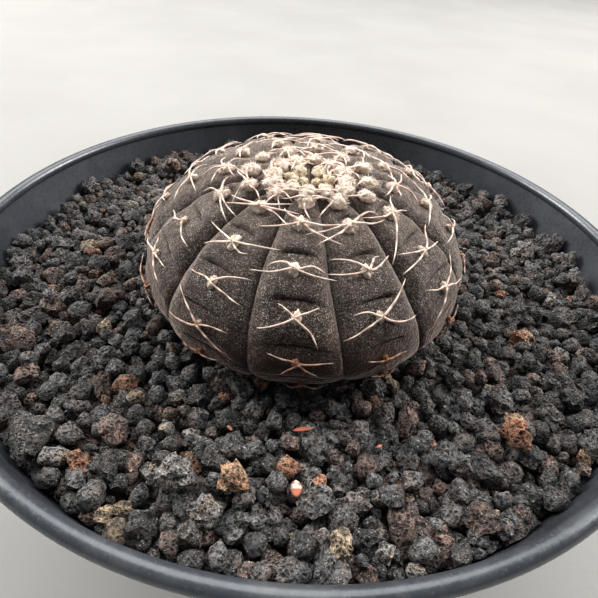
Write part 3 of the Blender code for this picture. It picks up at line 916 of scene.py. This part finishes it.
def make_lava(name, dark, light, stain, stained, crystal=0.45):
    material, nodes, shader = new_material(name, Roughness=0.78, Specular_IOR_Level=0.40)
    grain_tone = nodes.tone()[0]
    rock = use_group(nodes, PITTED_ROCK, Dark=dark, Light=light, Stain=stain, Stained=stained,
                     Crystal=crystal, Tone=grain_tone)
    nodes.wire(rock["Color"], shader, "Base Color")
    nodes.wire(nodes.bump(rock["Height"], 0.00055, 1.0), shader, "Normal")
    return material


TAN, SOOT = (0.46, 0.33, 0.21), (0.13, 0.12, 0.115)
LAVA = {
    "charcoal": make_lava("lava_charcoal", (0.004, 0.004, 0.0045), (0.156, 0.156, 0.159),
                          (0.215, 0.160, 0.135), 0.55),
    "brown": make_lava("lava_brown", (0.008, 0.005, 0.005), (0.300, 0.200, 0.165), SOOT, 0.6),
    "grey": make_lava("lava_grey", (0.012, 0.012, 0.012), (0.320, 0.300, 0.290), TAN, 0.5, 0.8),
    "rust": make_lava("lava_rust", (0.018, 0.007, 0.004), (0.460, 0.215, 0.125), TAN, 0.7, 0.3),
    "orange": make_lava("lava_orange", (0.030, 0.014, 0.006), (0.570, 0.320, 0.190), TAN, 0.8, 0.3),
    "ochre": make_lava("lava_ochre", (0.026, 0.016, 0.010), (0.520, 0.400, 0.270), SOOT, 0.8, 0.5),
}

# %% [markdown]
# ## Laying the grains
# Grains are dropped one by one. Each tries several places, rests on whatever it meets there and keeps
# the lowest, so holes fill first and the bed comes out level but uneven, as poured grit does. Grains
# are treated as balls while they settle, and may sink a little into each other as rough stones do.


# %% Settle the grains
GRAIN_DEPTH = 4.0 * MM
GRAIN_TOP = 0.7 * MM
GRAIN_TRIES = 14
GRAIN_COUNT = 4600
INTERLOCK = 0.80
CELL = 4.6 * MM
STONE_NODES = {"loose_stone_orange": "orange", "loose_stone_rust": "rust", "loose_stone_grey": "grey",
               "loose_stone_ochre": "ochre", "loose_stone_brown": "brown", "loose_stone_rear": "brown"}


def inner_wall(height):
    outer = BASE_RADIUS + (RIM_RADIUS + WALL / 2 - BASE_RADIUS) * height / RIM_Z
    return outer - WALL


SECTION_LATITUDES = np.linspace(-1.2, 0.6, 60)
SECTION_RADII, SECTION_HEIGHTS = section(SECTION_LATITUDES)
TO_STEM = STEM_FRAME.inverted()


def clear_of_stem(x, y, z, radius):
    local = TO_STEM @ Vector((x, y, z))
    skin = np.interp(local.z, SECTION_HEIGHTS, SECTION_RADII)
    return math.hypot(local.x, local.y) > skin + 0.45 * radius


GRAIN_SMALLEST, GRAIN_LARGEST = 0.52, 2.2
BANK = 1.1 * MM


def settle_grains():
    dice = random.Random(7)
    cells = {}
    grains = []
    for _ in range(GRAIN_COUNT):
        radius = min(GRAIN_LARGEST, max(GRAIN_SMALLEST, dice.lognormvariate(0.0, 0.34))) * MM
        best = None
        for _ in range(GRAIN_TRIES):
            reach = (inner_wall(GRIT_TOP) - 0.75 * radius) * math.sqrt(dice.random())
            angle = dice.uniform(0, 2 * math.pi)
            x, y = reach * math.cos(angle), reach * math.sin(angle)
            z = GRIT_TOP - GRAIN_DEPTH + radius * 0.5
            column, line = int(x // CELL), int(y // CELL)
            for i in (column - 1, column, column + 1):
                for j in (line - 1, line, line + 1):
                    for ox, oy, oz, other in cells.get((i, j), ()):
                        touch = INTERLOCK * (radius + other)
                        gap = touch * touch - (x - ox) ** 2 - (y - oy) ** 2
                        if gap > 0:
                            z = max(z, oz + math.sqrt(gap))
            if (best is None or z < best[2]) and clear_of_stem(x, y, z, radius):
                best = (x, y, z)
        # grit banks up a little against the wall
        bank = BANK * float(smoothstep(math.hypot(*best[:2]), 40 * MM, 51 * MM)) if best else 0
        if best is None or best[2] + 0.6 * radius > GRIT_TOP + GRAIN_TOP + bank:
            continue
        grain = (*best, radius)
        grains.append(grain)
        cells.setdefault((int(best[0] // CELL), int(best[1] // CELL)), []).append(grain)
    return grains


def named_stones():
    """Centre and radius of each single stone, from its node's box."""
    stones = {}
    for node in STONE_NODES:
        low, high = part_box(node)
        stones[node] = ((low + high) / 2, max(high - low) / 2)
    return stones


STONES = named_stones()
GRAINS = [grain for grain in settle_grains()
          if all((Vector(grain[:3]) - centre).length > 0.72 * (grain[3] + radius)
                 for centre, radius in STONES.values())]
print("grains laid:", len(GRAINS))

# %% [markdown]
# A few lumpy patterns, made once, are turned, stretched and scaled into all the grains. The patterns
# are coarse, since each grain is a few millimetres across, and the pores come from the material. The
# biggest and the single stones get a finer pattern whose pores are real dents.


# %% Grain patterns
def lumpy_pattern(seed, subdivisions):
    bm = bmesh.new()
    bmesh.ops.create_icosphere(bm, subdivisions=subdivisions, radius=1.0)
    offset = Vector((seed * 13.7, seed * 5.1, seed * 2.3))
    dice = random.Random(seed)
    for vertex in bm.verts:
        way = vertex.co.normalized()
        lump = 0.45 * noise.noise(way * 1.1 + offset) + 0.40 * noise.noise(way * 2.7 + offset)
        if subdivisions > 2:
            lump += 0.22 * noise.noise(way * 6 + offset)
            lump -= 0.35 * max(0.0, noise.noise(way * 8 + offset) - 0.05)
        vertex.co = way * (1 + lump + dice.uniform(-0.09, 0.09))
    # crushed stone has a few broken sides
    for _ in range(3):
        side = Vector((dice.gauss(0, 1), dice.gauss(0, 1), dice.gauss(0, 1))).normalized()
        limit = dice.uniform(0.66, 0.88)
        for vertex in bm.verts:
            over = vertex.co.dot(side) - limit
            if over > 0:
                vertex.co -= side * over * 0.7
    return with_tone(mesh_of(bm, f"grain_pattern_{subdivisions}_{seed}"))


COARSE = [lumpy_pattern(seed, 2) for seed in range(16)]
FINE = [lumpy_pattern(seed, 3) for seed in range(20, 30)]
PATTERN_POINTS = {mesh.name: coordinates(mesh) for mesh in COARSE + FINE}


def add_stone(bm, dice, pattern, centre, radius, stretch=0.22, tone=None):
    """A pattern turned, stretched and placed, with whatever would pass the pot's wall pressed back."""
    points = PATTERN_POINTS[pattern.name]
    turn = Matrix.Rotation(dice.uniform(0, 6.28), 3, "X") @ Matrix.Rotation(dice.uniform(0, 6.28), 3, "Z")
    scale = [radius * dice.uniform(1 - stretch, 1 + stretch) for _ in range(3)]
    points = (points * scale) @ np.array(turn).T + np.array(centre)
    reach = np.hypot(points[:, 0], points[:, 1])
    points[:, :2] *= np.minimum(1, (inner_wall(points[:, 2]) - 0.15 * MM) / reach)[:, None]
    tones = np.full((len(points), 4), dice.random() if tone is None else tone)
    place_copy(bm, pattern, points, tones)


# %% Grit in its colours
COLOUR_SHARES = (("charcoal", 0.77), ("brown", 0.14), ("grey", 0.045), ("rust", 0.025), ("ochre", 0.02))
SECTORS = 4
# stones with a colour of their own, in mm from the pot's middle: x, y, radius, colour
SEEN_STONES = ((-13.8, -31.2, 1.5, "ochre"), (-21.2, -36.6, 1.9, "brown"), (-16.1, -33.9, 0.9, "rust"),
               (-11.5, -35.7, 1.6, "grey"), (-6.6, -45.2, 1.5, "ochre"), (-16.9, -42.2, 1.3, "brown"),
               (-18.4, -45.6, 1.5, "ochre"), (-2.8, -38.0, 1.3, "brown"), (32.9, -15.8, 2.0, "rust"),
               (-17.0, -48.7, 1.2, "ochre"), (-38.0, -2.4, 2.1, "rust"), (-38.7, 35.8, 2.5, "rust"),
               (-31.4, 40.1, 2.3, "brown"), (24.0, -27.0, 1.2, "brown"), (-27.0, -20.0, 1.4, "brown"))


def pick_colour(dice, x, y):
    for sx, sy, reach, colour in SEEN_STONES:
        if math.hypot(x / MM - sx, y / MM - sy) < 0.75 * reach:
            return colour
    draw = dice.random()
    for colour, share in COLOUR_SHARES:
        draw -= share
        if draw < 0:
            return colour
    return "charcoal"


def make_grit():
    """The grains of each colour, the charcoal ones in sectors so that no piece grows too large."""
    dice = random.Random(23)
    heaps = {}
    for x, y, z, radius in GRAINS:
        colour = pick_colour(dice, x, y)
        name = f"grit_{colour}"
        if colour == "charcoal":
            name += f"_{int((math.atan2(y, x) / (2 * math.pi) % 1) * SECTORS) + 1}"
        if name not in heaps:
            heaps[name] = (colour, toned_bmesh())
        shown = z + radius > GRIT_TOP - 1.6 * MM
        pattern = dice.choice(FINE if shown and radius > 1.45 * MM else COARSE)
        add_stone(heaps[name][1], dice, pattern, (x, y, z), radius * 1.04)
    for name, (colour, bm) in heaps.items():
        grit = finish_piece(name, bm, LAVA[colour], sharp=60)
        slot = "lava_grit" if colour == "charcoal" else f"lava_{colour}"
        belongs(grit, slot, "grit_top_dressing")
        print(name, len(grit.data.polygons), "faces")


make_grit()


# %% Single stones
def make_single_stones():
    dice = random.Random(5)
    for index, (node, colour) in enumerate(STONE_NODES.items()):
        centre, radius = STONES[node]
        bm = toned_bmesh()
        add_stone(bm, dice, FINE[index % len(FINE)], centre, radius * 0.98, 0.1, 0.9)
        slot = node.replace("loose_stone", "lava").replace("rear", "brown")
        belongs(finish_piece(node + "_detail", bm, LAVA[colour], sharp=60), slot, node)


make_single_stones()

# %% [markdown]
# Under the loose grains a bed closes the view, so no light comes up between them, and it is painted dark
# as shade deep in the grit. It is a turned ring with an uneven top, and it also fills the pot's mouth down
# to the mix.


# %% Bed under the grains
def turned(profile, steps):
    """A profile of (radius, height) points turned about Z with bmesh's spin."""
    bm = bmesh.new()
    verts = [bm.verts.new((radius, 0, height)) for radius, height in profile]
    edges = [bm.edges.new(pair) for pair in zip(verts, verts[1:])]
    bmesh.ops.spin(bm, geom=verts + edges, cent=(0, 0, 0), axis=(0, 0, 1), angle=2 * math.pi,
                   steps=steps, use_merge=True)
    bmesh.ops.remove_doubles(bm, verts=bm.verts, dist=1e-6)
    bmesh.ops.recalc_face_normals(bm, faces=bm.faces)
    return bm


def make_bed():
    top = GRIT_TOP - 3.4 * MM
    bottom = GRIT_TOP - 9.5 * MM
    hole = 17.5 * MM
    rim = inner_wall(top) - 0.3 * MM
    profile = [(0.5 * hole, top)] + [(hole + (rim - hole) * ring / 14, top) for ring in range(15)]
    profile += [(inner_wall(bottom) - 0.3 * MM, bottom), (0.5 * hole, bottom), (0.5 * hole, top)]
    bm = turned(profile, 72)
    tone = bm.verts.layers.float_color.new("tone")
    for vertex in bm.verts:
        # painted shade: the bed takes a low tone, darker than most grains, for the shade deep in the grit
        vertex[tone] = (0.1, 0.1, 0.1, 1)
        if vertex.co.z > top - 0.01 * MM:
            vertex.co.z += 0.9 * MM * noise.noise(vertex.co / (2.2 * MM))
    belongs(finish_piece("grit_bed", bm, LAVA["charcoal"], sharp=50), "lava_grit", "grit_top_dressing")


make_bed()

# %% [markdown]
# ## Pot
# A thin moulded pot with a rolled bead. Its profile is drawn once and spun in many more steps than the
# plain one, so the rim is round up close. The plastic is satin black with fine scuffs, and pale dust
# from watering lies on the bead and streaks the wall inside.


# %% Dust
def make_dust():
    tree, nodes, inputs, output = new_group(
        "dust", {"Amount": 0.5}, {"Mask": "NodeSocketFloat"})
    place = nodes.object_place()
    normal = nodes.add("ShaderNodeSeparateXYZ")
    nodes.wire(nodes.add("ShaderNodeNewGeometry").outputs["Normal"], normal, 0)
    level = nodes.span(normal.outputs["Z"], -0.2, 0.95, 0.25, 1.0)
    patches = nodes.span(nodes.noise(place, 160.0, 6.0, 0.65), 0.42, 0.70)
    specks = nodes.span(nodes.noise(place, 2400.0, 2.0), 0.60, 0.72)
    film = nodes.math("ADD", nodes.math("MULTIPLY", patches, 0.6), nodes.math("MULTIPLY", specks, 0.5))
    nodes.wire(nodes.math("MULTIPLY", nodes.math("MULTIPLY", film, level), inputs["Amount"]),
               output, "Mask")
    return tree


DUST = make_dust()


def make_plastic():
    material, nodes, shader = new_material(
        "black_plastic", Specular_IOR_Level=0.68, Specular_Tint=(0.88, 0.95, 1.0, 1.0))
    place = nodes.object_place()
    dust = use_group(nodes, DUST, Amount=0.16)["Mask"]
    fine = nodes.noise(place, 1700.0, 3.0)
    broad = nodes.noise(place, 60.0, 3.0)
    colour = nodes.mix(nodes.span(broad, 0.35, 0.65), (0.024, 0.027, 0.033), (0.034, 0.038, 0.046))
    colour = nodes.mix(dust, colour, (0.30, 0.30, 0.30))
    nodes.wire(colour, shader, "Base Color")
    rough = nodes.math("ADD", nodes.span(fine, 0.35, 0.70, 0.26, 0.36), nodes.math("MULTIPLY", dust, 0.4))
    nodes.wire(rough, shader, "Roughness")
    nodes.wire(nodes.bump(nodes.math("ADD", fine, dust), 0.00003, 0.5), shader, "Normal")
    return material


# %% Pot
DRAIN_COUNT = 4
DRAIN_REACH = 21 * MM
DRAIN_RADIUS = 4 * MM


def arc(centre, radius, start, end, steps):
    angles = [math.radians(start + (end - start) * step / steps) for step in range(steps + 1)]
    return [(centre[0] + radius * math.cos(a), centre[1] + radius * math.sin(a)) for a in angles]


def make_pot():
    skirt = math.degrees(math.asin(WALL / (2 * BEAD))) + 4
    edge = 1.2 * MM
    profile = [(0.0, FLOOR_THICK), (BASE_RADIUS / 2, FLOOR_THICK)]
    profile += arc((inner_wall(FLOOR_THICK) - edge, FLOOR_THICK + edge), edge, -90, -10, 6)
    profile += [(inner_wall(h * RIM_Z), h * RIM_Z) for h in (0.3, 0.6, 0.85)]
    profile += arc((RIM_RADIUS, RIM_Z), BEAD, 270 - skirt, -90 + skirt, 22)
    profile += [(inner_wall(h * RIM_Z) + WALL, h * RIM_Z) for h in (0.85, 0.6, 0.3)]
    profile += arc((BASE_RADIUS - edge, edge), edge, 0, -90, 6)
    profile += [(BASE_RADIUS / 2, 0.0), (0.0, 0.0)]
    bm = turned(profile, 192)
    plain = finish_piece("pot_moulding", bm, make_plastic(), sharp=35)
    for index in range(DRAIN_COUNT):
        bearing = 2 * math.pi / DRAIN_COUNT * (index + 0.5)
        hole = bmesh.new()
        place = Matrix.Translation((DRAIN_REACH * math.sin(bearing), DRAIN_REACH * math.cos(bearing), 0))
        bmesh.ops.create_cone(hole, cap_ends=True, segments=40, radius1=DRAIN_RADIUS,
                              radius2=DRAIN_RADIUS, depth=8 * MM, matrix=place)
        cutter = bpy.data.objects.new("drain", mesh_of(hole, "drain"))
        bpy.context.scene.collection.objects.link(cutter)
        cut = plain.modifiers.new("drain", "BOOLEAN")
        cut.operation = "DIFFERENCE"
        cut.object = cutter
        graph = bpy.context.evaluated_depsgraph_get()
        drilled = bpy.data.meshes.new_from_object(plain.evaluated_get(graph))
        plain.modifiers.remove(cut)
        plain.data = drilled
        bpy.data.objects.remove(cutter)
    return belongs(plain, "black_plastic", "pot")


pot = make_pot()
print("pot faces:", len(pot.data.polygons))


# %% Potting mix: the plain plug keeps its shape and gets a crumbly finish
def finish_mix():
    material, nodes, shader = new_material("potting_mix", Roughness=0.95, Specular_IOR_Level=0.2)
    place = nodes.object_place()
    crumb = nodes.cells(place, 900.0)
    fibre = nodes.noise(place, 1800.0, 5.0, 0.7)
    colour = nodes.mix(nodes.span(crumb.outputs["Distance"], 0.05, 0.5), (0.045, 0.030, 0.020),
                       (0.012, 0.008, 0.006))
    colour = nodes.mix(nodes.span(fibre, 0.62, 0.72), colour, (0.22, 0.17, 0.11))
    nodes.wire(colour, shader, "Base Color")
    nodes.wire(nodes.bump(fibre, 0.0006, 1.0), shader, "Normal")
    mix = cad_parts["potting_mix"]
    mix.data.materials.clear()
    mix.data.materials.append(material)


finish_mix()

# %% [markdown]
# ## Dry bits
# A few scraps of dried bud and husk lie on the grit in front of the plant. Each is a small sheet, bent
# and given a thickness.


# %% Dry bits
def make_litter():
    material, nodes, shader = new_material("dry_husk", Roughness=0.6)
    place = nodes.object_place()
    tip = nodes.tone()[0]
    colour = nodes.mix(tip, (0.30, 0.070, 0.030), (0.66, 0.54, 0.46))
    colour = nodes.mix(nodes.span(nodes.noise(place, 1500.0, 3.0), 0.40, 0.70), colour,
                       (0.16, 0.050, 0.025))
    nodes.wire(colour, shader, "Base Color")
    scraps = ((1.4, -35.0, 3.0, 0.6, 25, 0.0), (0.9, -42.2, 2.3, 1.2, 95, 1.0),
              (-7.5, -35.6, 1.1, 0.4, 130, 0.1), (10.6, -36.0, 1.0, 0.4, 40, 0.3))
    for index, (x, y, length, width, bearing, pale) in enumerate(scraps):
        bm = bmesh.new()
        bmesh.ops.create_grid(bm, x_segments=8, y_segments=4, size=0.5)
        tone = bm.verts.layers.float_color.new("tone")
        for vertex in bm.verts:
            along, aside = vertex.co.x, vertex.co.y
            slim = math.sqrt(max(0.03, 1 - (2 * along) ** 2))
            curl = 0.5 * (1 - aside ** 2) - 0.8 * along ** 2
            vertex[tone] = (pale * float(along > -0.1), 0, 0, 1)
            vertex.co = Vector((along * length, aside * width * slim, curl * width * 0.7)) * MM
        bmesh.ops.solidify(bm, geom=list(bm.faces), thickness=0.08 * MM)
        top = max([z + radius * 0.75 for gx, gy, z, radius in GRAINS
                   if math.hypot(gx - x * MM, gy - y * MM) < radius] or [GRIT_TOP])
        turn = Matrix.Rotation(math.radians(bearing), 4, "Z") @ Matrix.Rotation(0.3, 4, "Y")
        bm.transform(Matrix.Translation((x * MM, y * MM, top + 0.25 * MM)) @ turn)
        bmesh.ops.recalc_face_normals(bm, faces=bm.faces)
        belongs(finish_piece(f"dry_husk_{index + 1}", bm, material), "lava_orange")


make_litter()

# %% [markdown]
# ## Floor and light
# The object stands on a plain pale surface. A broad soft light hangs over and behind the plant, one
# smaller light fills each side, and a pale surround lifts the shadows, like a bright overcast day. The
# surround is shown lighter than it shines, so that it stays pale while the shadows keep their depth.


# %% Floor
def make_floor():
    material, nodes, shader = new_material("pale_floor", Roughness=0.85, Specular_IOR_Level=0.2)
    place = nodes.object_place()
    mottle = nodes.span(nodes.noise(place, 9.0, 5.0), 0.3, 0.7)
    nodes.wire(nodes.mix(mottle, (0.266, 0.264, 0.257), (0.290, 0.288, 0.280)), shader, "Base Color")
    nodes.wire(nodes.bump(nodes.noise(place, 900.0, 4.0), 0.0002, 0.3), shader, "Normal")
    bm = bmesh.new()
    bmesh.ops.create_grid(bm, x_segments=1, y_segments=1, size=4.0)
    floor = finish_piece("floor", bm, material, smooth=False)


make_floor()


# %% Lights
def add_light(name, place, aim, size, power, colour):
    data = bpy.data.lights.new(name, "AREA")
    data.shape = "DISK"
    data.size = size
    data.energy = power
    data.color = colour
    light = bpy.data.objects.new(name, data)
    bpy.context.scene.collection.objects.link(light)
    direction = Vector(aim) - Vector(place)
    light.matrix_world = (Matrix.Translation(place)
                          @ direction.to_track_quat("-Z", "Y").to_matrix().to_4x4())


SURROUND_LIGHT, SURROUND_SEEN = 0.24, 0.72


def light_scene():
    add_light("overhead", (-0.05, 0.75, 1.65), (0, 0.20, 0), 1.9, 49.0, (1.0, 0.985, 0.965))
    add_light("left_fill", (-1.10, 0.45, 0.75), (0, 0, 0.07), 0.7, 28.0, (1.0, 0.97, 0.93))
    add_light("right_fill", (1.10, 0.45, 0.75), (0, 0, 0.07), 0.7, 26.0, (1.0, 0.96, 0.92))
    world = bpy.data.worlds.new("surround")
    world.use_nodes = True
    nodes = Nodes(world.node_tree)
    background = world.node_tree.nodes["Background"]
    background.inputs["Color"].default_value = (0.95, 0.97, 1.0, 1.0)
    seen = nodes.add("ShaderNodeLightPath").outputs["Is Camera Ray"]
    nodes.wire(nodes.span(seen, 0.0, 1.0, SURROUND_LIGHT, SURROUND_SEEN), background, "Strength")
    scene = bpy.context.scene
    scene.world = world
    scene.view_settings.view_transform = "Standard"
    scene.view_settings.look = "None"


light_scene()
